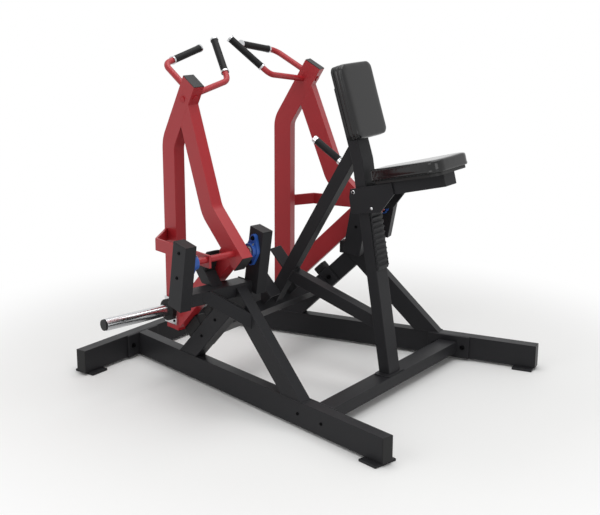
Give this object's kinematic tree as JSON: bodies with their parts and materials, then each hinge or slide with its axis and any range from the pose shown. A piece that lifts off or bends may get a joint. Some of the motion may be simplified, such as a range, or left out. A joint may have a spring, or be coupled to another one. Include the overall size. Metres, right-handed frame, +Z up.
{
  "type": "chest supported row machine",
  "caption": "Plate-loaded seated row machine: a splayed steel base, two swinging lever arms with weight horns and handles, a chest pad and a seat that slides on a toothed column.",
  "frame": {"origin": "middle of the footprint, on the floor", "axes": "+Z up; the user sits at -Y facing +Y; X is across, and X = 0 is the mirror plane"},
  "size_m": [1.5042, 1.5801, 1.3971],
  "materials": {
    "black_paint": "satin",
    "blue_paint": "satin",
    "board": "matte",
    "chrome": "polished",
    "grip_rubber": "matte",
    "plastic": "matte",
    "red_paint": "satin",
    "rubber": "matte",
    "vinyl": "fine grained vinyl"
  },
  "bodies": {
    "frame": {"braces": "black_paint", "chest_board": "board", "chest_pad": "vinyl", "diagonal": "black_paint", "flange_plates": "black_paint", "foot_plates": "black_paint", "footrest_bars": "black_paint", "front_crossbeam": "black_paint", "inner_bearings": "blue_paint", "inner_posts": "black_paint", "left_rail": "black_paint", "legs": "black_paint", "mid_crossbeam": "black_paint", "outer_bearings": "blue_paint", "outer_posts": "black_paint", "pivot_beams": "black_paint", "post_caps": "plastic", "rear_crossbeam": "black_paint", "rest_blocks": "rubber", "right_rail": "black_paint", "seat_column": "black_paint", "seat_rack": "black_paint", "stay": "black_paint", "stop_bars": "black_paint", "stop_buffers": "rubber", "struts": "black_paint", "support_grip": "grip_rubber", "support_handle": "chrome", "tube_end_caps": "plastic"},
    "left_arm": {"left_arm_caps": "plastic", "left_arm_front_tube": "red_paint", "left_arm_link": "red_paint", "left_arm_outrigger": "red_paint", "left_arm_rear_tube": "red_paint", "left_arm_shaft": "red_paint", "left_grip_collars": "chrome", "left_handle_bars": "red_paint", "left_handle_grips": "grip_rubber", "left_horn_cushion": "rubber", "left_weight_horn": "chrome"},
    "right_arm": {"right_arm_caps": "plastic", "right_arm_front_tube": "red_paint", "right_arm_link": "red_paint", "right_arm_outrigger": "red_paint", "right_arm_rear_tube": "red_paint", "right_arm_shaft": "red_paint", "right_grip_collars": "chrome", "right_handle_bars": "red_paint", "right_handle_grips": "grip_rubber", "right_horn_cushion": "rubber", "right_weight_horn": "chrome"},
    "seat": {"seat_board": "board", "seat_carriage_pins": "chrome", "seat_carriage_plates": "black_paint", "seat_pad": "vinyl", "seat_tube": "black_paint"}
  },
  "joints": [
    {"name": "left_arm_swing", "type": "hinge", "parent": "frame", "child": "left_arm", "pos_m": [-0.45633, -0.0007, 0.62092], "axis": [0.9773, -0.2118, 0], "range_deg": [0, 45]},
    {"name": "right_arm_swing", "type": "hinge", "parent": "frame", "child": "right_arm", "pos_m": [0.45633, -0.0007, 0.62092], "axis": [0.9773, 0.2118, 0], "range_deg": [0, 45]},
    {"name": "seat_height", "type": "slide", "parent": "frame", "child": "seat", "axis": [0, 0.1714, 0.9852], "range_m": [-0.22, 0.06]}
  ]
}
